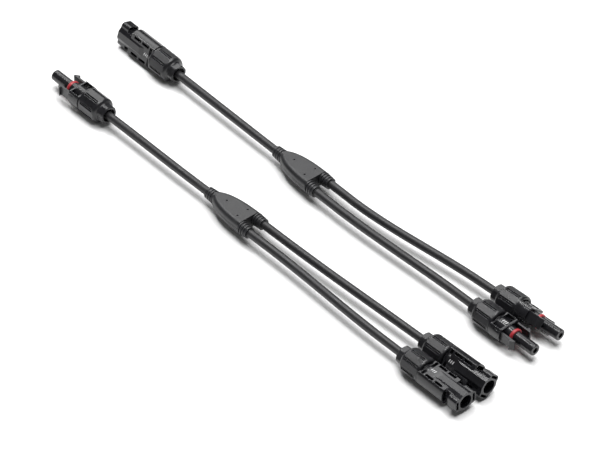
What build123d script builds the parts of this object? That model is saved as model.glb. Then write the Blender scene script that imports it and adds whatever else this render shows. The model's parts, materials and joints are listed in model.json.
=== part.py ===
from build123d import *
import math
import os

# A pair of Y-branch leads for photovoltaic strings, lying side by side on a flat surface.
# Lead A has a nose connector on its trunk and two socket connectors on its branches.
# Lead B has a socket connector on its trunk and two nose connectors on its branches.
#
# Frame: millimetres. The origin is the centre of lead A's moulded block, on its flat underside.
# +X runs along the leads from the trunk connectors to the branch connectors, +Z is up.
#
# Connectors are drawn in their own frame: the cap nut's rear end is x = 0, the mating end is +x,
# and the moulded pads face +z and -z. Blocks are drawn with x = 0 at the trunk relief's rim.

# --- cable ---------------------------------------------------------------------------------
CABLE_R = 2.95
KNUCKLE_R = 2.9
CORE_R = 1.2
CORE_GAP = 0.03

# --- moulded Y-block -----------------------------------------------------------------------
BLOCK_LENGTH = 48.4
BLOCK_HALF_HEIGHT = 5.0
RELIEF_TRUNK = 9.0
RELIEF_BRANCH = 8.4
RELIEF_RINGS = 4
RELIEF_GROOVE = 0.42
RELIEF_TIP_R = 4.2
RELIEF_ROOT_R = 4.85
RELIEF_NECK_R = 3.7
BODY_NARROW = 4.4
BODY_WIDE = 9.9
BODY_BULGE_AT = 0.42
BODY_BULGE = 0.8
BODY_RISE = 0.65
BODY_EDGE_R = 3.3
PARTING_RIB = 0.12
PARTING_HALF_WIDTH = 0.2
BRANCH_Y = 6.25
DIMPLE_R = 0.65
DIMPLE_DEPTH = 0.8
INSERT_HALF_HEIGHT = 3.75
INSERT_WALL = 2.1
INSERT_NARROWING = 0.4
MOULD_GAP = 0.03
CHANNEL_GAP = 0.05
TAIL_INSIDE = 5.0
TAIL_OUTSIDE = 17.0
PIVOT_GAP = 0.12
FERRULE_R = 3.2
FERRULE_BORE = 2.55
FERRULE_START = 19.0
FERRULE_LENGTH = 7.0
CORE_SPACING = 1.25

# --- cap nut, clamp cage and gland seal ----------------------------------------------------
NUT_LENGTH = 22.8
NUT_R = 9.25
NUT_FLATS = 8
NUT_FLAT_APOTHEM = 8.95
NUT_COLLAR_LENGTH = 4.5
NUT_COLLAR_APOTHEM = 6.1
NUT_COLLAR_R = 6.6
NUT_MOUTH_R = 4.7
NUT_MOUTH_LENGTH = 2.6
NUT_BORE_R = 7.15
NUT_BORE_START = 8.6
GROOVE_WIDTH = 2.2
GROOVE_DEPTH = 0.95
GROOVE_START = 8.2
GROOVE_END = 20.4
RIDGE_WIDTH = 0.5
RIDGE_DROP = 0.3
THREAD_R = 7.05
THREAD_ROOT_R = 6.5
THREAD_PITCH = 2.0
THREAD_START = 13.6
STEM_START = 13.0
STEM_BORE_R = 4.95
STEM_BORE_DEPTH = 3.0
CAGE_RING_START = 10.2
CAGE_RING_R = 6.4
CAGE_SPIGOT_R = 4.85
CAGE_FINGER_R = 5.0
CAGE_FINGER_BORE = 4.3
CAGE_START = 3.0
CAGE_FINGERS = 8
CAGE_SLOT = 0.8
SEAL_START = 3.6
SEAL_R = 4.22
SEAL_BORE = 3.07
SEAL_RIBS = 4

# --- both housings -------------------------------------------------------------------------
SHELL_R = 9.35
PAD_HALF_HEIGHT = 5.7
PAD_HALF_WIDTH = 5.1
SLOT_WIDTH = 1.9
SLOT_DEPTH = 3.2
BARREL_R = 5.8
BARREL_START = 22.9
RECESS_START = 24.3
RECESS_FLOOR = 2.6
CONTACT_BORE = 2.95
CRIMP_R = 1.85
CRIMP_START = 14.4
CRIMP_LENGTH = 7.0
FLANGE_R = 2.85
FLANGE_START = 25.0
FLANGE_LENGTH = 1.6
SHANK_R = 2.2

# --- nose connector ------------------------------------------------------------------------
NOSE_LENGTH = 57.0
NOSE_R = 4.0
NOSE_ROOT_R = 4.8
RING_SEAT_R = 3.8
RING_SEAT_END = 39.7
RING_GAP = 0.03
NOSE_BODY_END = 33.1
NOSE_ROOT_END = 37.3
NOSE_FRAME = 1.5
NOSE_HALF_WIDTH = 7.9
NOSE_MOUTH_R = 2.95
NOSE_POCKET_START = 27.6
POCKET_INNER = 5.55
POCKET_OUTER = 8.55
POCKET_HALF_HEIGHT = 4.2
RING_START = 37.4
RING_WIDTH = 2.2
RING_R = 5.25
LATCH_PIVOT_X = 29.6
LATCH_PIVOT_Y = 7.1
LATCH_ROOT_R = 1.15
LATCH_INNER = 6.3
LATCH_OUTER = 7.75
LATCH_HALF_WIDTH = 3.7
LATCH_TIP = 45.0
LATCH_HEAD = 41.6
BARB_OUTER = 9.25
SLEEVE_R = 2.6
SLEEVE_BORE = 1.55
SLEEVE_TIP = 55.4

# --- socket connector ----------------------------------------------------------------------
SOCKET_LENGTH = 59.0
SHELL_END = 46.5
WINDOW_END = 51.5
MOUTH_R = 4.9
MOUTH_DEPTH = 7.0
BORE_R = 4.1
BORE_DEPTH = 24.4
FACE_HALF_WIDTH = 8.8
FACE_HALF_HEIGHT = 4.7
FACE_CORNER_R = 2.6
TUBE_R = 6.0
FACE_SLOT_Y = 7.0
FACE_SLOT_HALF = 3.2
FACE_SLOT_WIDTH = 1.9
LATCH_ROOM_HALF = 3.9
LATCH_ROOM_START = 43.8
REAR_SLOTS = (28.0, 35.0)
FRONT_SLOTS = (36.5, 43.4)
RIDGE_TOP = 6.3
RIDGE_HALF = 2.4
RIDGE_FOOT = 4.8
RIDGE_START = 26.0
RIDGE_FULL = 36.0
SOCKET_PAD_START = 26.6
PIN_R = 1.5
PIN_TIP = 51.0

# --- layout of the two leads ---------------------------------------------------------------
AXIS_Z = BLOCK_HALF_HEIGHT
BLOCK_A = (-BLOCK_LENGTH / 2, 0.0, 0.0)
BLOCK_B = (-25.9, 61.2, -1.4)
STRAIGHT_TAIL = 16.0
JACKET_END = 13.6
CORE_END = 20.5
# Each leg: lead, name, sort, nut position along and across the block, heading,
# the housing's roll about the cable, and how far round the cap nut has been tightened.
LEGS = (
    ("a", "trunk", "nose", 103.9, -0.8, -0.4, 0.0, 22.5),
    ("a", "front", "socket", 201.5, -9.4, 0.2, 0.0, 0.0),
    ("a", "rear", "socket", 201.2, 9.5, 1.6, 47.0, 0.0),
    ("b", "trunk", "socket", 104.1, -0.1, -0.1, -72.0, 0.0),
    ("b", "front", "nose", 199.6, -0.2, 1.8, 0.0, 0.0),
    ("b", "rear", "nose", 199.4, 19.3, 4.4, -42.0, 0.0),
)


def rod(radius, start, end, y=0, z=0):
    """A round bar along X."""
    return Pos(start, y, z) * Rot(0, 90, 0) * Cylinder(
        radius, end - start, align=(Align.CENTER, Align.CENTER, Align.MIN)
    )


def tube(radius, bore, start, end):
    """A round tube along X."""
    return rod(radius, start, end) - rod(bore, start, end)


def block(x0, x1, y0, y1, z0, z1):
    """A rectangular block between two corners."""
    return Pos((x0 + x1) / 2, (y0 + y1) / 2, (z0 + z1) / 2) * Box(x1 - x0, y1 - y0, z1 - z0)


def turned(points):
    """The solid made by turning an outline of (x, radius) points about X."""
    outline = make_face(Polyline(*points, close=True))
    return revolve(outline, Axis.X, 360)


def prism(points, start, end):
    """A straight prism along X whose section has (y, z) points."""
    section = Plane.YZ.offset(start) * make_face(Polyline(*points, close=True))
    return extrude(section, end - start)


def regular(sides, apothem, start, end, turn=0):
    """A regular prism along X; with no turn, a flat faces +z."""
    radius = apothem / math.cos(math.pi / sides)
    step = 360 / sides
    angles = [math.radians(90 + turn + step * (i + 0.5)) for i in range(sides)]
    return prism([(radius * math.cos(a), radius * math.sin(a)) for a in angles], start, end)


# --- cap nut, clamp cage, gland seal -------------------------------------------------------
def nut_outline():
    """The nut's outer shape, turned: a narrow rear collar, a rounded shoulder and a barrel."""
    shoulder = ThreePointArc((5.4, 7.2), (6.3, 8.6), (8.2, NUT_R))
    edges = (
        Line((0, 0), (0, NUT_COLLAR_R - 0.5))
        + Line((0, NUT_COLLAR_R - 0.5), (0.5, NUT_COLLAR_R))
        + Line((0.5, NUT_COLLAR_R), (NUT_COLLAR_LENGTH, NUT_COLLAR_R))
        + Line((NUT_COLLAR_LENGTH, NUT_COLLAR_R), (5.4, 7.2))
        + shoulder
        + Line((8.2, NUT_R), (21.9, NUT_R))
        + Line((21.9, NUT_R), (NUT_LENGTH, 8.6))
        + Line((NUT_LENGTH, 8.6), (NUT_LENGTH, 0))
        + Line((NUT_LENGTH, 0), (0, 0))
    )
    return revolve(make_face(edges), Axis.X, 360)


def nut_grooves():
    """Cuts for a grip groove on every corner, each leaving one low, fine ridge down its middle."""
    outer = NUT_R + 1
    half = GROOVE_WIDTH / 2
    wide = block(GROOVE_START, GROOVE_END, NUT_R - RIDGE_DROP, outer, -half, half)
    left = block(GROOVE_START, GROOVE_END, NUT_R - GROOVE_DEPTH, outer, -half, -RIDGE_WIDTH / 2)
    right = block(GROOVE_START, GROOVE_END, NUT_R - GROOVE_DEPTH, outer, RIDGE_WIDTH / 2, half)
    turns = [360 / NUT_FLATS * i for i in range(NUT_FLATS)]
    return [Rot(turn, 0, 0) * cut for turn in turns for cut in (wide, left, right)]


def make_cap_nut():
    nut = nut_outline()
    collar = regular(6, NUT_COLLAR_APOTHEM, 0, NUT_COLLAR_LENGTH)
    barrel = regular(NUT_FLATS, NUT_FLAT_APOTHEM, NUT_COLLAR_LENGTH, NUT_LENGTH, turn=22.5)
    rim = rod(9.1, NUT_LENGTH - 1.6, NUT_LENGTH)
    nut = nut & (collar + barrel + rim)
    for cut in nut_grooves():
        nut -= cut
    bore = turned(
        [
            (-1, 0),
            (-1, NUT_MOUTH_R + 0.4),
            (0, NUT_MOUTH_R + 0.4),
            (0.4, NUT_MOUTH_R),
            (NUT_MOUTH_LENGTH, NUT_MOUTH_R),
            (NUT_MOUTH_LENGTH, CAGE_FINGER_R + 0.15),
            (6.4, CAGE_FINGER_R + 0.6),
            (NUT_BORE_START, CAGE_RING_R + 0.3),
            (NUT_BORE_START + 1.6, NUT_BORE_R),
            (NUT_LENGTH + 1, NUT_BORE_R),
            (NUT_LENGTH + 1, 0),
        ]
    )
    return nut - bore


def make_clamp_cage():
    """A ring with spring fingers round the seal; its spigot sits in the housing's stem."""
    cage = tube(CAGE_FINGER_R, CAGE_FINGER_BORE, CAGE_START, CAGE_RING_START)
    for i in range(CAGE_FINGERS):
        slot = block(CAGE_START - 1, CAGE_RING_START - 0.8, 0, CAGE_RING_R, -CAGE_SLOT / 2, CAGE_SLOT / 2)
        cage -= Rot(360 / CAGE_FINGERS * i, 0, 0) * slot
    cage += tube(CAGE_RING_R, SEAL_BORE + 0.3, CAGE_RING_START, STEM_START - 0.1)
    return cage + tube(CAGE_SPIGOT_R, SEAL_BORE + 0.3, STEM_START - 0.1, STEM_START + 2.0)


def make_gland_seal():
    """A rubber sleeve with rounded ribs outside, gripped by the cage's fingers."""
    end = CAGE_RING_START - 0.1
    step = (end - SEAL_START) / SEAL_RIBS
    points = [(SEAL_START, SEAL_BORE)]
    for i in range(SEAL_RIBS):
        left = SEAL_START + step * i
        points.append((left, SEAL_R - 0.45))
        points.append((left + step * 0.3, SEAL_R))
        points.append((left + step * 0.7, SEAL_R))
    points.append((end, SEAL_R - 0.45))
    points.append((end, SEAL_BORE))
    return turned(points)


# --- parts of both housings ----------------------------------------------------------------
def make_stem():
    """The threaded stem under the nut, with ring-shaped threads, and the bore for the contact."""
    stem = rod(THREAD_ROOT_R, STEM_START, NUT_LENGTH + 0.5)
    turns = int((NUT_LENGTH - THREAD_START) / THREAD_PITCH)
    for i in range(turns):
        left = THREAD_START + THREAD_PITCH * i
        stem += turned(
            [
                (left, 0),
                (left, THREAD_ROOT_R),
                (left + 0.5, THREAD_R),
                (left + 0.9, THREAD_R),
                (left + 1.4, THREAD_ROOT_R),
                (left + 1.4, 0),
            ]
        )
    return stem


def stem_bores():
    """The stem's rear recess for the cage, and the stepped bore that holds the contact."""
    recess = rod(STEM_BORE_R, STEM_START - 1, STEM_START + STEM_BORE_DEPTH)
    return recess + rod(CONTACT_BORE, STEM_START, FLANGE_START + FLANGE_LENGTH + 0.2)


def shell_body(start, end):
    """The body's section: round at its sides, with flat pads above and below."""
    flats = block(start, end, -SHELL_R, SHELL_R, -PAD_HALF_HEIGHT, PAD_HALF_HEIGHT)
    return rod(SHELL_R, start, end) & flats


def pad_slots(start, end):
    """Slots along both edges of both pads, between the pad and the side shells."""
    slots = []
    centre = PAD_HALF_WIDTH + SLOT_WIDTH / 2
    for y in (-centre, centre):
        for low in (PAD_HALF_HEIGHT - SLOT_DEPTH, -PAD_HALF_HEIGHT - 1):
            y0 = y - SLOT_WIDTH / 2
            slots.append(block(start, end, y0, y0 + SLOT_WIDTH, low, low + SLOT_DEPTH + 1))
    return slots


def pad_recesses(start, end, half_width):
    """Openings through both pads that leave a round barrel showing between them."""
    top = PAD_HALF_HEIGHT + 1
    above = block(start, end, -half_width, half_width, RECESS_FLOOR, top)
    return above, block(start, end, -half_width, half_width, -top, -RECESS_FLOOR)


def make_crimp():
    """The contact's rear: a crimp barrel, a shank and the flange that locks it in the bore."""
    barrel = tube(CRIMP_R, CORE_R + CORE_GAP, CRIMP_START, CRIMP_START + CRIMP_LENGTH)
    shank = rod(SHANK_R, CRIMP_START + CRIMP_LENGTH, FLANGE_START)
    return barrel + shank + rod(FLANGE_R, FLANGE_START, FLANGE_START + FLANGE_LENGTH)


# --- nose connector ------------------------------------------------------------------------
def nose_tube():
    """The root, the seal ring's seat and the tube with its rounded tip."""
    root = rod(NOSE_ROOT_R, NOSE_BODY_END - 1, NOSE_ROOT_END) + rod(RING_SEAT_R, NOSE_ROOT_END - 1, RING_SEAT_END)
    nose = turned(
        [
            (RING_SEAT_END, 0),
            (RING_SEAT_END, NOSE_R),
            (NOSE_LENGTH - 0.6, NOSE_R),
            (NOSE_LENGTH - 0.15, NOSE_R - 0.2),
            (NOSE_LENGTH, NOSE_R - 0.6),
            (NOSE_LENGTH, 0),
        ]
    )
    return root + nose


def nose_front_frame():
    """The flat frame that closes the body's front, narrower than the side shells."""
    height = PAD_HALF_HEIGHT - 0.2
    frame = block(NOSE_BODY_END - NOSE_FRAME, NOSE_BODY_END, -NOSE_HALF_WIDTH, NOSE_HALF_WIDTH, -height, height)
    return fillet(frame.edges().filter_by(Axis.X), 2.2)


def make_nose_housing():
    body = shell_body(BARREL_START, NOSE_BODY_END - 0.4) + nose_front_frame()
    for recess in pad_recesses(RECESS_START, NOSE_BODY_END - NOSE_FRAME, PAD_HALF_WIDTH + SLOT_WIDTH):
        body -= recess
    body += rod(BARREL_R, BARREL_START, NOSE_BODY_END - 0.5)
    for side in (-1, 1):
        y0, y1 = sorted((side * POCKET_INNER, side * POCKET_OUTER))
        body -= block(NOSE_POCKET_START, NOSE_LENGTH, y0, y1, -POCKET_HALF_HEIGHT, POCKET_HALF_HEIGHT)
    body += make_stem() + nose_tube()
    bore = stem_bores() + rod(SLEEVE_R + 0.1, FLANGE_START, SLEEVE_TIP + 0.3)
    return body - bore - rod(NOSE_MOUTH_R - 0.9, SLEEVE_TIP, NOSE_LENGTH + 1)


def latch_arm():
    """The finger's side outline: a round root in its pocket, a flat arm and a barbed head."""
    arm = make_face(
        Polyline(
            (LATCH_PIVOT_X, LATCH_INNER + 0.1),
            (LATCH_TIP, LATCH_INNER),
            (LATCH_TIP, LATCH_OUTER - 0.6),
            (LATCH_HEAD + 0.7, BARB_OUTER),
            (LATCH_HEAD, BARB_OUTER),
            (LATCH_HEAD - 0.1, LATCH_OUTER),
            (LATCH_PIVOT_X, LATCH_OUTER + 0.1),
            close=True,
        )
    )
    return arm


def make_latch(side):
    """One latch finger; side is +1 for the +y finger and -1 for the -y finger."""
    width = 2 * LATCH_HALF_WIDTH
    arm = Pos(0, 0, -LATCH_HALF_WIDTH) * extrude(latch_arm(), width)
    root = Pos(LATCH_PIVOT_X, LATCH_PIVOT_Y, 0) * Cylinder(LATCH_ROOT_R, width)
    latch = arm + root
    return latch if side > 0 else mirror(latch, Plane.XZ)


def make_seal_ring():
    middle = RING_START + RING_WIDTH / 2
    edges = (
        Line((RING_START, RING_SEAT_R + RING_GAP), (RING_START, RING_R - 0.45))
        + ThreePointArc((RING_START, RING_R - 0.45), (middle, RING_R), (RING_START + RING_WIDTH, RING_R - 0.45))
        + Line((RING_START + RING_WIDTH, RING_R - 0.45), (RING_START + RING_WIDTH, RING_SEAT_R + RING_GAP))
        + Line((RING_START + RING_WIDTH, RING_SEAT_R + RING_GAP), (RING_START, RING_SEAT_R + RING_GAP))
    )
    return revolve(make_face(edges), Axis.X, 360)


def make_socket_contact():
    """A tin-plated sleeve with a split, flared mouth, deep inside the nose."""
    front = FLANGE_START + FLANGE_LENGTH
    sleeve = rod(SLEEVE_R - 0.1, front, SLEEVE_TIP)
    sleeve -= rod(SLEEVE_BORE, SLEEVE_TIP - 14, SLEEVE_TIP + 1)
    for turn in (0, 90):
        sleeve -= Rot(turn, 0, 0) * block(SLEEVE_TIP - 9, SLEEVE_TIP + 1, -4, 4, -0.2, 0.2)
    return make_crimp() + sleeve


# --- socket connector ----------------------------------------------------------------------
def socket_core():
    """The core between the side shells: a raised ridge with sloping sides that grows out of the pads."""
    ridge = [
        (-PAD_HALF_WIDTH, -RIDGE_FOOT),
        (-RIDGE_HALF, -RIDGE_TOP),
        (RIDGE_HALF, -RIDGE_TOP),
        (PAD_HALF_WIDTH, -RIDGE_FOOT),
        (PAD_HALF_WIDTH, RIDGE_FOOT),
        (RIDGE_HALF, RIDGE_TOP),
        (-RIDGE_HALF, RIDGE_TOP),
        (-PAD_HALF_WIDTH, RIDGE_FOOT),
    ]
    outline = Polyline(
        (RIDGE_START, -RIDGE_FOOT),
        (RIDGE_START, RIDGE_FOOT),
        (RIDGE_FULL, RIDGE_TOP),
        (SOCKET_LENGTH, RIDGE_TOP),
        (SOCKET_LENGTH, -RIDGE_TOP),
        (RIDGE_FULL, -RIDGE_TOP),
        close=True,
    )
    slope = extrude(Plane.XZ * make_face(outline), SHELL_R, both=True)
    return prism(ridge, RIDGE_START, SOCKET_LENGTH) & slope


def socket_face():
    """The front block round the mouth, with rounded sides."""
    face = block(WINDOW_END, SOCKET_LENGTH, -FACE_HALF_WIDTH, FACE_HALF_WIDTH, -FACE_HALF_HEIGHT, FACE_HALF_HEIGHT)
    face = fillet(face.edges().filter_by(Axis.X), FACE_CORNER_R)
    return face + rod(TUBE_R, WINDOW_END, SOCKET_LENGTH)


def make_socket_housing():
    body = shell_body(BARREL_START, SHELL_END)
    for recess in pad_recesses(RECESS_START, SOCKET_PAD_START, PAD_HALF_WIDTH + SLOT_WIDTH):
        body -= recess
    body += rod(BARREL_R, BARREL_START, SOCKET_PAD_START + 0.5)
    body += block(SHELL_END - 1, WINDOW_END + 1, -PAD_HALF_WIDTH, PAD_HALF_WIDTH, -5.0, 5.0)
    body += socket_core() + socket_face()
    for slot in pad_slots(*REAR_SLOTS) + pad_slots(*FRONT_SLOTS):
        body -= slot
    for side in (-1, 1):
        y0, y1 = sorted((side * (PAD_HALF_WIDTH + 0.1), side * (SHELL_R - 1.4)))
        body -= block(LATCH_ROOM_START, SHELL_END + 1, y0, y1, -LATCH_ROOM_HALF, LATCH_ROOM_HALF)
        y0 = side * FACE_SLOT_Y - FACE_SLOT_WIDTH / 2
        body -= block(
            WINDOW_END - 1, SOCKET_LENGTH + 1, y0, y0 + FACE_SLOT_WIDTH, -FACE_SLOT_HALF, FACE_SLOT_HALF
        )
    body += make_stem()
    mouth = rod(MOUTH_R, SOCKET_LENGTH - MOUTH_DEPTH, SOCKET_LENGTH + 1)
    bore = rod(BORE_R, SOCKET_LENGTH - BORE_DEPTH, SOCKET_LENGTH)
    throat = rod(PIN_R + 0.3, FLANGE_START, SOCKET_LENGTH - 1)
    return body - stem_bores() - throat - bore - mouth


def make_pin_contact():
    """A tin-plated pin with a rounded tip, set back inside the socket's bore."""
    front = FLANGE_START + FLANGE_LENGTH
    pin = turned(
        [
            (front - 0.5, 0),
            (front - 0.5, PIN_R),
            (PIN_TIP - 1.2, PIN_R),
            (PIN_TIP - 0.3, PIN_R - 0.5),
            (PIN_TIP, 0.5),
            (PIN_TIP, 0),
        ]
    )
    return make_crimp() + pin


# --- moulded Y-block -----------------------------------------------------------------------
def relief(start, length, outward, y=0):
    """A ribbed strain relief from start; outward is -1 or +1, the way its cable leaves."""
    step = length / RELIEF_RINGS
    shape = rod(RELIEF_NECK_R, min(start, start + outward * length), max(start, start + outward * length))
    for i in range(RELIEF_RINGS):
        grown = (i + 1) / RELIEF_RINGS
        radius = RELIEF_ROOT_R + (RELIEF_TIP_R - RELIEF_ROOT_R) * grown
        near = start + outward * step * (i + RELIEF_GROOVE)
        far = start + outward * step * (i + 1)
        shape += rod(radius, min(near, far), max(near, far))
    return Pos(0, y, 0) * shape


def body_outline(inset):
    """The block's plan: narrow at the trunk, widening on two smooth curves to the branches."""
    x0 = RELIEF_TRUNK - 0.6 + inset
    x1 = BLOCK_LENGTH - RELIEF_BRANCH + 0.6 - inset
    narrow = BODY_NARROW - inset * INSERT_NARROWING
    wide = BODY_WIDE - inset
    bulge = (x0 + (x1 - x0) * BODY_BULGE_AT, narrow + (wide - narrow) * BODY_BULGE)
    upper = Spline((x0, narrow), bulge, (x1, wide), tangents=((1, BODY_RISE), (1, 0)))
    lower = Spline((x0, -narrow), (bulge[0], -bulge[1]), (x1, -wide), tangents=((1, -BODY_RISE), (1, 0)))
    return make_face(upper + Line((x1, wide), (x1, -wide)) + lower + Line((x0, -narrow), (x0, narrow)))


def block_core(half_height, inset):
    return Pos(0, 0, -half_height) * extrude(body_outline(inset), 2 * half_height)


def cable_channels(radius):
    """Three round channels: the trunk's, and the two branches' at the wide end."""
    trunk = rod(radius, -5, RELIEF_TRUNK + TAIL_INSIDE + MOULD_GAP)
    start = BLOCK_LENGTH - RELIEF_BRANCH - TAIL_INSIDE - MOULD_GAP
    return [trunk] + [rod(radius, start, BLOCK_LENGTH + 5, y) for y in (-BRANCH_Y, BRANCH_Y)]


def make_overmould():
    body = block_core(BLOCK_HALF_HEIGHT, 0)
    long_edges = body.faces().filter_by(Axis.Z).edges().filter_by(GeomType.BSPLINE)
    body = fillet(long_edges, BODY_EDGE_R)
    body += block_core(PARTING_HALF_WIDTH, -PARTING_RIB)
    body += relief(RELIEF_TRUNK, RELIEF_TRUNK, -1)
    for y in (-BRANCH_Y, BRANCH_Y):
        body += relief(BLOCK_LENGTH - RELIEF_BRANCH, RELIEF_BRANCH, 1, y)
    for x, y in ((18.3, 0), (34.3, -4.5), (34.3, 4.5)):
        body -= Pos(x, y, BLOCK_HALF_HEIGHT) * Cylinder(DIMPLE_R, 2 * DIMPLE_DEPTH)
    body -= block_core(INSERT_HALF_HEIGHT + MOULD_GAP, INSERT_WALL - MOULD_GAP)
    for hollow in cable_channels(CABLE_R + CHANNEL_GAP) + core_tails(CORE_R + MOULD_GAP):
        body -= hollow
    return body


def core_path(side):
    """A branch conductor's line from the ferrule to the outside of its relief."""
    start = (FERRULE_START + FERRULE_LENGTH / 2 + 0.2, side * CORE_SPACING)
    bend_end = (BLOCK_LENGTH - RELIEF_BRANCH - TAIL_INSIDE - 1, side * BRANCH_Y)
    bend = Spline(start, bend_end, tangents=((1, 0), (1, 0)))
    return bend + Line(bend_end, (BLOCK_LENGTH + TAIL_OUTSIDE, side * BRANCH_Y))


def swept(radius, path):
    """A round bar along a path."""
    return sweep(Plane(origin=path @ 0, z_dir=path % 0) * Circle(radius), path=path)


def core_tails(radius):
    """The three conductors inside the block, as separate solids."""
    trunk = rod(radius, -TAIL_OUTSIDE, FERRULE_START + FERRULE_LENGTH / 2)
    return [trunk] + [swept(radius, core_path(side)) for side in (-1, 1)]


def ferrule_shape(gap=0):
    return rod(FERRULE_R + gap, FERRULE_START - gap, FERRULE_START + FERRULE_LENGTH + gap)


def make_inner_mould():
    """The first shot of plastic that fixes the splice before the outer shot."""
    insert = block_core(INSERT_HALF_HEIGHT, INSERT_WALL)
    insert -= ferrule_shape(MOULD_GAP)
    for hollow in cable_channels(CABLE_R + MOULD_GAP) + core_tails(CORE_R + MOULD_GAP):
        insert -= hollow
    return insert


def make_splice():
    """The crimped ferrule and the three bare conductor ends that meet in it."""
    ferrule = ferrule_shape() - rod(FERRULE_BORE, FERRULE_START - 1, FERRULE_START + FERRULE_LENGTH + 1)
    return Compound(children=[ferrule] + core_tails(CORE_R))


def make_cable_tails():
    """The jacket ends that the block is moulded round."""
    trunk = tube(CABLE_R, CORE_R + CORE_GAP, -TAIL_OUTSIDE, RELIEF_TRUNK + TAIL_INSIDE)
    start = BLOCK_LENGTH - RELIEF_BRANCH - TAIL_INSIDE
    branch = tube(CABLE_R, CORE_R + CORE_GAP, start, BLOCK_LENGTH + TAIL_OUTSIDE)
    tails = [trunk] + [Pos(0, y, 0) * branch for y in (-BRANCH_Y, BRANCH_Y)]
    return Compound(children=tails)


# --- legs ----------------------------------------------------------------------------------
def leg_frame(name, along, across, heading):
    """Where a leg's pivot and its connector sit, in the block's own frame."""
    reach = TAIL_OUTSIDE + CABLE_R + PIVOT_GAP
    if name == "trunk":
        turn = 180 + heading
        pivot = (-reach, 0)
        return pivot, (-along, -across), turn
    y = -BRANCH_Y if name == "front" else BRANCH_Y
    return (BLOCK_LENGTH + reach, y), (along, across), heading


def point_on(nut, turn, distance):
    """A point on the connector's axis, in the block's frame."""
    angle = math.radians(turn)
    return (nut[0] + distance * math.cos(angle), nut[1] + distance * math.sin(angle))


def cable_path(pivot, nut, turn, end):
    """The cable's line from its pivot to a point inside the connector."""
    angle = math.radians(turn)
    outward = (math.copysign(1, math.cos(angle)), 0)
    knee = point_on(nut, turn, -STRAIGHT_TAIL)
    bend = Spline(pivot, knee, tangents=(outward, (math.cos(angle), math.sin(angle))))
    return bend + Line(knee, point_on(nut, turn, end))


def knuckle():
    """The cable's rounded end at its pivot: a bar across the cable, trimmed to the cable's own round."""
    bar = Rot(90, 0, 0) * Cylinder(KNUCKLE_R, 2 * CABLE_R)
    return bar & rod(KNUCKLE_R, -CABLE_R, CABLE_R / 2)


def make_jacket(pivot, nut, turn):
    jacket = swept(CABLE_R, cable_path(pivot, nut, turn, JACKET_END))
    jacket += Pos(*pivot) * knuckle()
    return jacket - swept(CORE_R + CORE_GAP, cable_path(pivot, nut, turn, CORE_END))


def make_core(pivot, nut, turn):
    return swept(CORE_R, cable_path(pivot, nut, turn, CORE_END))


def connector_parts(sort):
    """Every piece of one connector, in the connector's own frame."""
    parts = {
        "gland_seal": make_gland_seal(),
        "clamp_cage": make_clamp_cage(),
        "cap_nut": make_cap_nut(),
    }
    if sort == "socket":
        parts["housing"] = make_socket_housing()
        parts["pin_contact"] = make_pin_contact()
        return parts
    parts["housing"] = make_nose_housing()
    parts["socket_contact"] = make_socket_contact()
    parts["seal_ring"] = make_seal_ring()
    parts["latch_left"] = make_latch(1)
    parts["latch_right"] = make_latch(-1)
    return parts


def block_parts():
    return {
        "overmould": make_overmould(),
        "inner_mould": make_inner_mould(),
        "splice": make_splice(),
        "cable_tails": make_cable_tails(),
    }


def write(name, shape):
    export_step(shape, os.path.join("parts", name + ".step"))


def write_block(lead, place, parts):
    for name, shape in parts.items():
        write(f"{lead}_{name}", place * shape)


def write_leg(leg, place, connectors):
    lead, name, sort, along, across, heading, roll, nut_turn = leg
    pivot, nut, turn = leg_frame(name, along, across, heading)
    write(f"{lead}_{name}_cable_jacket", place * make_jacket(pivot, nut, turn))
    write(f"{lead}_{name}_conductor", place * make_core(pivot, nut, turn))
    seat = place * Pos(nut[0], nut[1], 0) * Rot(0, 0, turn)
    for piece, shape in connectors[sort].items():
        about = nut_turn if piece == "cap_nut" else roll
        write(f"{lead}_{name}_{piece}", seat * Rot(about, 0, 0) * shape)


def main():
    os.makedirs("parts", exist_ok=True)
    places = {}
    for lead, (x, y, turn) in (("a", BLOCK_A), ("b", BLOCK_B)):
        places[lead] = Pos(x, y, AXIS_Z) * Rot(0, 0, turn)
    blocks = block_parts()
    connectors = {sort: connector_parts(sort) for sort in ("nose", "socket")}
    for lead, place in places.items():
        write_block(lead, place, blocks)
    for leg in LEGS:
        write_leg(leg, places[leg[0]], connectors)


main()
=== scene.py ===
import json
import math

import bmesh
import bpy
from mathutils import Matrix, Vector


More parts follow.
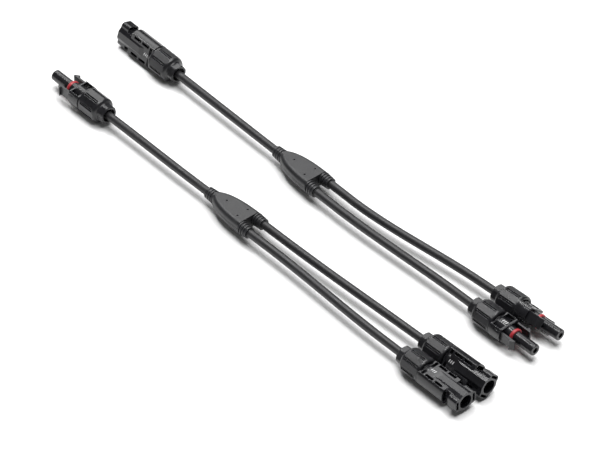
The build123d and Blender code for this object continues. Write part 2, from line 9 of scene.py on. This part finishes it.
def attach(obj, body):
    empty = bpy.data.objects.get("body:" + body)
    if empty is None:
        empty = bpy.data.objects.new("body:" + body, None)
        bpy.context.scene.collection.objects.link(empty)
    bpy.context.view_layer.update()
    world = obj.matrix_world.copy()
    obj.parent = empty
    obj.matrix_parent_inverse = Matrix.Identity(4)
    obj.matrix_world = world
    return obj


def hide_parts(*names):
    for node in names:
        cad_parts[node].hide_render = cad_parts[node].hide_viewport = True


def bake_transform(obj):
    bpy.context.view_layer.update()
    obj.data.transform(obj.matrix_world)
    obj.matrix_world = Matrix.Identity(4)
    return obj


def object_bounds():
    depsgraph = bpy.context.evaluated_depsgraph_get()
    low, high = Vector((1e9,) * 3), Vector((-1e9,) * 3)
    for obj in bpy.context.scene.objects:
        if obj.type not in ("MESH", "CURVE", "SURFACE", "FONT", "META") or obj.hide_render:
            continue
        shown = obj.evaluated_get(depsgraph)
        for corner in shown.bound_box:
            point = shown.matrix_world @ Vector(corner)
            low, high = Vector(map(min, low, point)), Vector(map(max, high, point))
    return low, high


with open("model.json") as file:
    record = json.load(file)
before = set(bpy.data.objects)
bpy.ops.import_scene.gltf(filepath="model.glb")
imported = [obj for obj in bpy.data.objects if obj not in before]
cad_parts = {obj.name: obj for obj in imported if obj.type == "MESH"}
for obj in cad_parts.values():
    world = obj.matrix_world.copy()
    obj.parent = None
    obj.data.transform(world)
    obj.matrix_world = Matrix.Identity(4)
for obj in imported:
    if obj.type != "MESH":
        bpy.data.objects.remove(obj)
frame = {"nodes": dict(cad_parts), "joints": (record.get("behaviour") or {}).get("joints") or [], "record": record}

CAD_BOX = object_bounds()
MM = 0.001

# --- camera, floor and light, in metres, degrees and watts ---------------------------------
VIEW_AZIMUTH = 48.68
VIEW_ELEVATION = 41.48
VIEW_DISTANCE = 3.4907
VIEW_AIM = Vector((0.0494, 0.0156, 0.005))
LENS = 320.0
FAR_CLIP = 20.0
FLOOR_HALF_SIZE = 8.0
FLOOR_GAP = 0.05 * MM
FLOOR_TONES = ((0.90, 0.90, 0.90), (0.92, 0.92, 0.92))
FLOOR_TONE_SCALE = 3.0
FLOOR_ROUGHNESS = 0.9
FLOOR_SPECULAR = 0.1
AMBIENT = 0.12
BACKDROP = 0.92
# Each light: name, position, point it aims at, width and height, power in watts.
LIGHTS = (
    ("overhead", (0.1, 0.35, 2.0), (0.05, 0.03, 0), (1.7, 1.7), 62.0),
    ("key", (-1.1, 0.15, 1.7), (0, 0.03, 0), (0.25, 0.25), 11.0),
    ("back", (-1.5, 1.2, 1.5), (0, 0, 0), (1.4, 1.0), 15.0),
)

# --- sizes of the Blender pieces, in metres ------------------------------------------------
CABLE_R = 2.95 * MM
CORE_R = 1.2 * MM
# How far the cable starts inside the relief, and how far the relief's end is from the hinge.
TAIL_LENGTH = 12.0 * MM
RELIEF_REACH = 20.07 * MM
# How far the cable runs straight before its cap nut, and where the jacket and the
# conductor end, measured from the nut's rear end.
STRAIGHT_TAIL = 16 * MM
JACKET_END = 13.6 * MM
CORE_END = 20.5 * MM
# Mesh of the swept cables: length of a step, and corners around the jacket and the conductor.
CABLE_STEP = 1.5 * MM
CABLE_SIDES = 40
CORE_SIDES = 48
UV_LENGTH = 10 * MM
# The jacket isn't quite round or even: share of its radius, and turns along its steps.
OVAL_SHARE, OVAL_TURN = 0.006, 0.11
WAVE_SHARE, WAVE_TURN = 0.004, 0.23
# The outer strands stand out by this share of the conductor's radius, laid in a twist.
CORE_STRANDS = 12
STRAND_SHARE = 0.06
LAY_PER_STEP = 0.25
# The print: three slanted bars that begin this far from the nut's rear end.
MARK_START = 26.9 * MM
MARK_PITCH = 1.6 * MM
MARK_LENGTH = 0.45 * MM
MARK_HALF_WIDTH = 1.05 * MM
MARK_SLANT = 0.5 * MM
MARK_PROUD = 0.03 * MM
MARK_COUNT = 3
MARK_STEPS = 8
# What the bars lie on: the round nose barrel, or the flat pad of a socket.
BARREL_R = 5.8 * MM
PAD_HALF_HEIGHT = 5.7 * MM

# --- materials: noise scales per metre, colour gains, and bump depths ------------------------
EDGE_RADIUS = 0.5 * MM
EDGE_SAMPLES = 6
EDGE_DOT_FLAT, EDGE_DOT_SHARP = 0.985, 0.75
FLOW_SCALE, GRAIN_SCALE, DUST_SCALE = 140.0, 5200.0, 900.0
SPECK_GAIN = 3.0
# Painted highlight: sharp edges are lightened to this many times the lighter tone.
EDGE_HIGHLIGHT_GAIN = 6.5
EDGE_POLISH = 0.08
GRAIN_DEPTH = 0.03 * MM
JACKET_STRETCH = (60.0, 3.0, 1.0)
JACKET_GRIT_SCALE, JACKET_CLOUD_SCALE = 4200.0, 90.0
JACKET_TONES = ((0.008, 0.008, 0.009), (0.017, 0.017, 0.019))
JACKET_DUST = (0.028, 0.028, 0.029)
JACKET_ROUGHNESS = (0.4, 0.52)
JACKET_DEPTH = 0.04 * MM
RUBBER_CLOUD_SCALE, RUBBER_GRIT_SCALE = 700.0, 4800.0
RUBBER_DEPTH = 0.02 * MM
RUBBER_SHEEN = 0.15
METAL_STRETCH = (250.0, 6000.0, 6000.0)
METAL_CLOUD_SCALE = 800.0
METAL_DEPTH = 0.02 * MM
INK_SCALE = 2600.0
INK_TONES = ((0.45, 0.45, 0.46), (0.86, 0.86, 0.86))
INK_DEPTH = 0.01 * MM

LEADS = ("a", "b")
LEGS = ("trunk", "front", "rear")
NOSES = ("a_trunk", "b_front", "b_rear")
# How far each print is turned about its connector's axis, in degrees; the others aren't.
PRINT_ROLL = {"a_trunk": 180.0, "a_rear": 47.0, "b_trunk": -72.0, "b_rear": 138.0}


# --- material building ---------------------------------------------------------------------
class Nodes:
    """A small helper that adds and links the nodes of one material."""

    def __init__(self, name):
        self.material = bpy.data.materials.new(name)
        self.material.use_nodes = True
        self.tree = self.material.node_tree
        self.shader = self.tree.nodes["Principled BSDF"]

    def add(self, kind, values=(), **settings):
        node = self.tree.nodes.new(kind)
        for key, value in settings.items():
            setattr(node, key, value)
        for key, value in dict(values).items():
            node.inputs[key].default_value = value
        return node

    def link(self, source, target):
        self.tree.links.new(source, target)

    def noise(self, vector, scale, detail=3.0, roughness=0.55):
        settings = {"Scale": scale, "Detail": detail, "Roughness": roughness}
        node = self.add("ShaderNodeTexNoise", settings)
        self.link(vector, node.inputs["Vector"])
        return node.outputs["Fac"]

    def remap(self, value, low, high, to_low, to_high):
        node = self.add(
            "ShaderNodeMapRange",
            {"From Min": low, "From Max": high, "To Min": to_low, "To Max": to_high},
        )
        self.link(value, node.inputs["Value"])
        return node.outputs["Result"]

    def mix(self, factor, first, second):
        node = self.add("ShaderNodeMix", data_type="RGBA")
        self.link(factor, node.inputs["Factor"])
        for socket, value in ((node.inputs[6], first), (node.inputs[7], second)):
            if isinstance(value, tuple):
                socket.default_value = (*value, 1.0)
            else:
                self.link(value, socket)
        return node.outputs[2]

    def bump(self, height, strength, distance, normal=None):
        node = self.add("ShaderNodeBump", {"Strength": strength, "Distance": distance})
        self.link(height, node.inputs["Height"])
        if normal is not None:
            self.link(normal, node.inputs["Normal"])
        return node.outputs["Normal"]

    def maths(self, operation, first, second):
        node = self.add("ShaderNodeMath", operation=operation)
        for socket, value in zip(node.inputs, (first, second)):
            if isinstance(value, (int, float)):
                socket.default_value = value
            else:
                self.link(value, socket)
        return node.outputs["Value"]


def edge_mask(nodes):
    """1 on sharp edges and 0 on flats, with the rounded normal that finds them."""
    bevel = nodes.add("ShaderNodeBevel", {"Radius": EDGE_RADIUS}, samples=EDGE_SAMPLES)
    geometry = nodes.add("ShaderNodeNewGeometry")
    dot = nodes.add("ShaderNodeVectorMath", operation="DOT_PRODUCT")
    nodes.link(bevel.outputs["Normal"], dot.inputs[0])
    nodes.link(geometry.outputs["Normal"], dot.inputs[1])
    mask = nodes.remap(dot.outputs["Value"], EDGE_DOT_FLAT, EDGE_DOT_SHARP, 0.0, 1.0)
    return mask, bevel.outputs["Normal"]


def moulded_plastic(name, dark, light, roughness, grain=0.5):
    """Moulded engineering plastic: fine spark grain, faint flow marks, painted edge highlights."""
    nodes = Nodes(name)
    place = nodes.add("ShaderNodeTexCoord").outputs["Object"]
    clouds = nodes.noise(place, FLOW_SCALE)
    grit = nodes.noise(place, GRAIN_SCALE, 4.0, 0.7)
    dust = nodes.noise(place, DUST_SCALE, 5.0, 0.65)
    sharp_edge, rounded = edge_mask(nodes)
    colour = nodes.mix(nodes.remap(clouds, 0.3, 0.7, 0.0, 1.0), dark, light)
    specks = nodes.remap(dust, 0.62, 0.8, 0.0, 0.3)
    colour = nodes.mix(specks, colour, tuple(SPECK_GAIN * c for c in light))
    # Painted highlight on the sharp edges, broken up by the dust noise.
    painted_highlight = nodes.maths("MULTIPLY", sharp_edge, nodes.remap(dust, 0.3, 0.65, 0.25, 0.8))
    colour = nodes.mix(painted_highlight, colour, tuple(EDGE_HIGHLIGHT_GAIN * c for c in light))
    nodes.link(colour, nodes.shader.inputs["Base Color"])
    rough = nodes.remap(clouds, 0.25, 0.75, roughness - 0.05, roughness + 0.06)
    rough = nodes.maths("SUBTRACT", rough, nodes.maths("MULTIPLY", sharp_edge, EDGE_POLISH))
    nodes.link(rough, nodes.shader.inputs["Roughness"])
    grained = nodes.bump(grit, grain, GRAIN_DEPTH, rounded)
    nodes.link(grained, nodes.shader.inputs["Normal"])
    return nodes.material


def extruded_jacket(name):
    """Cross-linked cable jacket: matt black with fine lengthwise die lines and a little dust."""
    nodes = Nodes(name)
    place = nodes.add("ShaderNodeTexCoord")
    stretch = nodes.add("ShaderNodeMapping", {"Scale": JACKET_STRETCH})
    nodes.link(place.outputs["UV"], stretch.inputs["Vector"])
    lines = nodes.noise(stretch.outputs["Vector"], 1.0, 6.0, 0.7)
    grit = nodes.noise(place.outputs["Object"], JACKET_GRIT_SCALE, 3.0, 0.6)
    clouds = nodes.noise(place.outputs["Object"], JACKET_CLOUD_SCALE)
    streaks = nodes.remap(lines, 0.35, 0.7, 0.0, 1.0)
    colour = nodes.mix(streaks, *JACKET_TONES)
    colour = nodes.mix(nodes.remap(clouds, 0.55, 0.8, 0.0, 0.5), colour, JACKET_DUST)
    nodes.link(colour, nodes.shader.inputs["Base Color"])
    rough = nodes.remap(clouds, 0.3, 0.7, *JACKET_ROUGHNESS)
    nodes.link(rough, nodes.shader.inputs["Roughness"])
    height = nodes.maths("ADD", lines, nodes.maths("MULTIPLY", grit, 0.5))
    nodes.link(nodes.bump(height, 0.4, JACKET_DEPTH), nodes.shader.inputs["Normal"])
    return nodes.material


def soft_rubber(name, dark, light, roughness):
    """Seal rubber or silicone: soft sheen, fine mottling and a faint mould bloom."""
    nodes = Nodes(name)
    place = nodes.add("ShaderNodeTexCoord").outputs["Object"]
    clouds = nodes.noise(place, RUBBER_CLOUD_SCALE, 4.0)
    grit = nodes.noise(place, RUBBER_GRIT_SCALE)
    colour = nodes.mix(nodes.remap(clouds, 0.3, 0.7, 0.0, 1.0), dark, light)
    nodes.link(colour, nodes.shader.inputs["Base Color"])
    rough = nodes.remap(clouds, 0.3, 0.7, roughness - 0.06, roughness + 0.06)
    nodes.link(rough, nodes.shader.inputs["Roughness"])
    nodes.link(nodes.bump(grit, 0.3, RUBBER_DEPTH), nodes.shader.inputs["Normal"])
    nodes.shader.inputs["Sheen Weight"].default_value = RUBBER_SHEEN
    return nodes.material


def tinned_metal(name, dark, light, roughness):
    """Tin plate over copper: bright, with fine drawn lines and dull patches."""
    nodes = Nodes(name)
    place = nodes.add("ShaderNodeTexCoord").outputs["Object"]
    stretch = nodes.add("ShaderNodeMapping", {"Scale": METAL_STRETCH})
    nodes.link(place, stretch.inputs["Vector"])
    drawn = nodes.noise(stretch.outputs["Vector"], 1.0, 4.0)
    clouds = nodes.noise(place, METAL_CLOUD_SCALE)
    nodes.link(nodes.mix(clouds, dark, light), nodes.shader.inputs["Base Color"])
    nodes.shader.inputs["Metallic"].default_value = 1.0
    rough = nodes.remap(drawn, 0.3, 0.7, roughness - 0.08, roughness + 0.1)
    nodes.link(rough, nodes.shader.inputs["Roughness"])
    nodes.link(nodes.bump(drawn, 0.25, METAL_DEPTH), nodes.shader.inputs["Normal"])
    return nodes.material


def pad_print(name):
    """White pad-printing ink, slightly thin and speckled."""
    nodes = Nodes(name)
    place = nodes.add("ShaderNodeTexCoord").outputs["Object"]
    specks = nodes.noise(place, INK_SCALE, 5.0, 0.7)
    colour = nodes.mix(nodes.remap(specks, 0.3, 0.6, 0.0, 1.0), *INK_TONES)
    nodes.link(colour, nodes.shader.inputs["Base Color"])
    nodes.shader.inputs["Roughness"].default_value = 0.5
    nodes.link(nodes.bump(specks, 0.2, INK_DEPTH), nodes.shader.inputs["Normal"])
    return nodes.material


def make_materials():
    """One finished material for each of the record's slots, and the print's ink."""
    black, worn_black = (0.006, 0.006, 0.007), (0.011, 0.011, 0.013)
    charcoal, worn_charcoal = (0.009, 0.009, 0.010), (0.015, 0.015, 0.017)
    grey, pale_grey = (0.07, 0.07, 0.072), (0.1, 0.1, 0.1)
    red, pale_red = (0.3, 0.012, 0.018), (0.42, 0.02, 0.03)
    rubber, dusty_rubber = (0.012, 0.012, 0.012), (0.022, 0.022, 0.022)
    recipes = {
        "housing_plastic": (moulded_plastic, black, worn_black, 0.21),
        "nut_plastic": (moulded_plastic, black, worn_black, 0.3),
        "latch_plastic": (moulded_plastic, black, worn_black, 0.34),
        "block_plastic": (moulded_plastic, charcoal, worn_charcoal, 0.44, 0.7),
        "insert_plastic": (moulded_plastic, grey, pale_grey, 0.5),
        "cable_jacket": (extruded_jacket,),
        "gland_rubber": (soft_rubber, rubber, dusty_rubber, 0.6),
        "seal_silicone": (soft_rubber, red, pale_red, 0.42),
        "tinned_copper": (tinned_metal, (0.62, 0.6, 0.56), (0.8, 0.79, 0.77), 0.3),
        "ferrule_metal": (tinned_metal, (0.5, 0.48, 0.45), (0.7, 0.69, 0.67), 0.4),
        "print_ink": (pad_print,),
    }
    return {name: make(name, *settings) for name, (make, *settings) in recipes.items()}


def dress_cad(materials):
    """Gives every carried-over CAD node its slot's material."""
    for row in frame["record"]["subparts"]:
        mesh = frame["nodes"][row["node"]].data
        mesh.materials.clear()
        mesh.materials.append(materials[row["material_slot"]])
        for polygon in mesh.polygons:
            polygon.material_index = 0


# --- cables --------------------------------------------------------------------------------
def joint(name):
    """The frame's row for one joint."""
    return next(j for j in frame["joints"] if j["name"] == name)


def leg_line(leg):
    """The pivot, the way the cable leaves it, the nut's rear end and the connector's axis."""
    bend = joint(f"{leg}_cable_bend")
    turn = joint(f"{leg}_nut_unscrew")
    outward = Vector((0, 0, 1)).cross(Vector(bend["axis"]))
    return Vector(bend["pos_m"]), outward.normalized(), Vector(turn["pos_m"]), -Vector(turn["axis"])


def hermite(a, b, way_a, way_b, share):
    """A point on the smooth curve from a to b that leaves and arrives along the given ways."""
    reach = (b - a).length
    s2, s3 = share * share, share * share * share
    return (
        a * (2 * s3 - 3 * s2 + 1)
        + way_a * reach * (s3 - 2 * s2 + share)
        + b * (3 * s2 - 2 * s3)
        + way_b * reach * (s3 - s2)
    )


def cable_points(leg, end):
    """Evenly spaced points from inside the relief to a point inside the connector."""
    pivot, outward, nut, axis = leg_line(leg)
    tail = pivot - outward * (RELIEF_REACH + TAIL_LENGTH)
    knee = nut - axis * STRAIGHT_TAIL
    finish = nut + axis * end
    points = []
    count = int((pivot - tail).length / CABLE_STEP)
    points += [tail.lerp(pivot, i / count) for i in range(count)]
    count = int((knee - pivot).length / CABLE_STEP)
    points += [hermite(pivot, knee, outward, axis, i / count) for i in range(count)]
    count = int((finish - knee).length / CABLE_STEP)
    return points + [knee.lerp(finish, i / count) for i in range(count + 1)]


def sweep_mesh(name, points, radius, sides, shape):
    """A closed tube along points; shape(angle, index) scales its radius, and UVs follow it."""
    mesh = bpy.data.meshes.new(name)
    build = bmesh.new()
    layer = build.loops.layers.uv.new("UVMap")
    rings = []
    for i, point in enumerate(points):
        way = (points[min(i + 1, len(points) - 1)] - points[max(i - 1, 0)]).normalized()
        side = way.cross(Vector((0, 0, 1))).normalized()
        up = side.cross(way)
        ring = []
        for k in range(sides):
            angle = 2 * math.pi * k / sides
            offset = side * math.cos(angle) + up * math.sin(angle)
            ring.append(build.verts.new(point + offset * radius * shape(angle, i)))
        rings.append(ring)
    for i in range(len(rings) - 1):
        for k in range(sides):
            after = (k + 1) % sides
            near, far = rings[i], rings[i + 1]
            face = build.faces.new((near[k], far[k], far[after], near[after]))
            face.smooth = True
            corners = ((k, i), (k, i + 1), (k + 1, i + 1), (k + 1, i))
            for loop, (around, along) in zip(face.loops, corners):
                loop[layer].uv = (around / sides, along * CABLE_STEP / UV_LENGTH)
    build.faces.new(rings[0])
    build.faces.new(list(reversed(rings[-1])))
    bmesh.ops.recalc_face_normals(build, faces=build.faces)
    build.to_mesh(mesh)
    build.free()
    piece = bpy.data.objects.new(name, mesh)
    bpy.context.scene.collection.objects.link(piece)
    return piece


def jacket_shape(angle, index):
    """Real jackets aren't quite round: a slow, slight waviness along and around."""
    oval = OVAL_SHARE * math.sin(2 * angle + OVAL_TURN * index)
    return 1 + oval + WAVE_SHARE * math.sin(WAVE_TURN * index)


def strand_shape(angle, index):
    """The outer strands, laid in a long twist."""
    lobes = abs(math.cos(CORE_STRANDS / 2 * angle + LAY_PER_STEP * index))
    return 1 - STRAND_SHARE + STRAND_SHARE * lobes


def bend_at_relief(piece):
    """Bakes the cable piece's placement into its mesh."""
    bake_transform(piece)


def make_cable(lead, leg, materials):
    """The jacket and the conductor of one leg, in place of the CAD's straight pieces."""
    outer, inner = cable_points(leg, JACKET_END), cable_points(leg, CORE_END)
    jacket = sweep_mesh(f"{leg}_jacket", outer, CABLE_R, CABLE_SIDES, jacket_shape)
    core = sweep_mesh(f"{leg}_strands", inner, CORE_R, CORE_SIDES, strand_shape)
    parts = ((jacket, "cable_jacket", "cable_jacket"), (core, "tinned_copper", "conductor"))
    for piece, slot, node in parts:
        piece.data.materials.append(materials[slot])
        bend_at_relief(piece)
        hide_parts(f"{leg}_{node}")
    if leg.endswith("trunk"):
        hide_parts(f"{lead}_cable_tails")


# --- print on the housings -----------------------------------------------------------------
def mark_height(leg, across):
    """How far the housing's surface stands from its axis: round on noses, flat on sockets."""
    if leg in NOSES:
        return math.sqrt(BARREL_R**2 - across**2)
    return PAD_HALF_HEIGHT


def add_bar(build, start, leg, seat):
    """One slanted bar of ink that follows the surface, with a little thickness."""
    rows = []
    for step in range(MARK_STEPS + 1):
        share = step / MARK_STEPS
        across = MARK_HALF_WIDTH * (2 * share - 1)
        height = mark_height(leg, across)
        along = start + MARK_SLANT * share
        corners = (
            (along, height + MARK_PROUD),
            (along + MARK_LENGTH, height + MARK_PROUD),
            (along + MARK_LENGTH, height - MARK_PROUD),
            (along, height - MARK_PROUD),
        )
        rows.append([build.verts.new(seat @ Vector((x, across, z))) for x, z in corners])
    for near, far in zip(rows, rows[1:]):
        for k in range(4):
            build.faces.new((near[k], near[(k + 1) % 4], far[(k + 1) % 4], far[k]))
    build.faces.new(rows[0])
    build.faces.new(rows[-1])


def make_print(leg, materials):
    """A row of plain bars, pad printed near the cap nut."""
    _, _, nut, axis = leg_line(leg)
    side = Vector((0, 0, 1)).cross(axis).normalized()
    leg_axes = Matrix((axis, side, axis.cross(side))).transposed().to_4x4()
    roll = Matrix.Rotation(math.radians(PRINT_ROLL.get(leg, 0.0)), 4, "X")
    seat = Matrix.Translation(nut) @ leg_axes @ roll
    build = bmesh.new()
    for i in range(MARK_COUNT):
        add_bar(build, MARK_START + MARK_PITCH * i, leg, seat)
    bmesh.ops.recalc_face_normals(build, faces=build.faces)
    mesh = bpy.data.meshes.new(f"{leg}_print")
    build.to_mesh(mesh)
    build.free()
    piece = bpy.data.objects.new(f"{leg}_print", mesh)
    bpy.context.scene.collection.objects.link(piece)
    mesh.materials.append(materials["print_ink"])
    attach(piece, leg)


# --- stage ---------------------------------------------------------------------------------
def make_floor():
    """A wide pale floor just under the lowest point of the object."""
    mesh = bpy.data.meshes.new("floor")
    size, height = FLOOR_HALF_SIZE, CAD_BOX[0].z - FLOOR_GAP
    sides = ((-1, -1), (1, -1), (1, 1), (-1, 1))
    mesh.from_pydata([(x * size, y * size, height) for x, y in sides], [], [(0, 1, 2, 3)])
    floor = bpy.data.objects.new("floor", mesh)
    bpy.context.scene.collection.objects.link(floor)
    nodes = Nodes("floor")
    place = nodes.add("ShaderNodeTexCoord").outputs["Object"]
    tone = nodes.mix(nodes.noise(place, FLOOR_TONE_SCALE), *FLOOR_TONES)
    nodes.link(tone, nodes.shader.inputs["Base Color"])
    nodes.shader.inputs["Roughness"].default_value = FLOOR_ROUGHNESS
    nodes.shader.inputs["Specular IOR Level"].default_value = FLOOR_SPECULAR
    mesh.materials.append(nodes.material)


def make_light(name, position, aim, size, power):
    """One rectangular area light turned to its aim."""
    data = bpy.data.lights.new(name, "AREA")
    data.shape = "RECTANGLE"
    data.size, data.size_y = size
    data.energy = power
    lamp = bpy.data.objects.new(name, data)
    lamp.location = position
    lamp.rotation_mode = "QUATERNION"
    lamp.rotation_quaternion = (Vector(aim) - Vector(position)).to_track_quat("-Z", "Y")
    bpy.context.scene.collection.objects.link(lamp)


def make_lights():
    """The three soft studio lights and the surroundings."""
    for light in LIGHTS:
        make_light(*light)
    world = bpy.data.worlds.new("studio")
    world.use_nodes = True
    tree = world.node_tree
    background = tree.nodes["Background"]
    background.inputs["Color"].default_value = (1, 1, 1, 1)
    # A pale backdrop where the camera sees past the floor, and a faint fill everywhere else.
    path = tree.nodes.new("ShaderNodeLightPath")
    strength = tree.nodes.new("ShaderNodeMapRange")
    strength.inputs["To Min"].default_value = AMBIENT
    strength.inputs["To Max"].default_value = BACKDROP
    tree.links.new(path.outputs["Is Camera Ray"], strength.inputs["Value"])
    tree.links.new(strength.outputs["Result"], background.inputs["Strength"])
    bpy.context.scene.world = world
    bpy.context.scene.view_settings.view_transform = "Standard"


def make_camera():
    """A long lens at the photograph's viewing angle."""
    azimuth, elevation = math.radians(VIEW_AZIMUTH), math.radians(VIEW_ELEVATION)
    flat = math.cos(elevation)
    back = Vector((math.sin(azimuth) * flat, -math.cos(azimuth) * flat, math.sin(elevation)))
    data = bpy.data.cameras.new("camera")
    data.lens = LENS
    data.clip_end = FAR_CLIP
    camera = bpy.data.objects.new("camera", data)
    camera.location = VIEW_AIM + back * VIEW_DISTANCE
    camera.rotation_mode = "QUATERNION"
    camera.rotation_quaternion = (-back).to_track_quat("-Z", "Y")
    bpy.context.scene.collection.objects.link(camera)
    bpy.context.scene.camera = camera


def main():
    """The materials, each leg's cable and print, and then the stage."""
    materials = make_materials()
    dress_cad(materials)
    for lead in LEADS:
        for leg in LEGS:
            make_cable(lead, f"{lead}_{leg}", materials)
            make_print(f"{lead}_{leg}", materials)
    make_floor()
    make_lights()
    make_camera()


main()
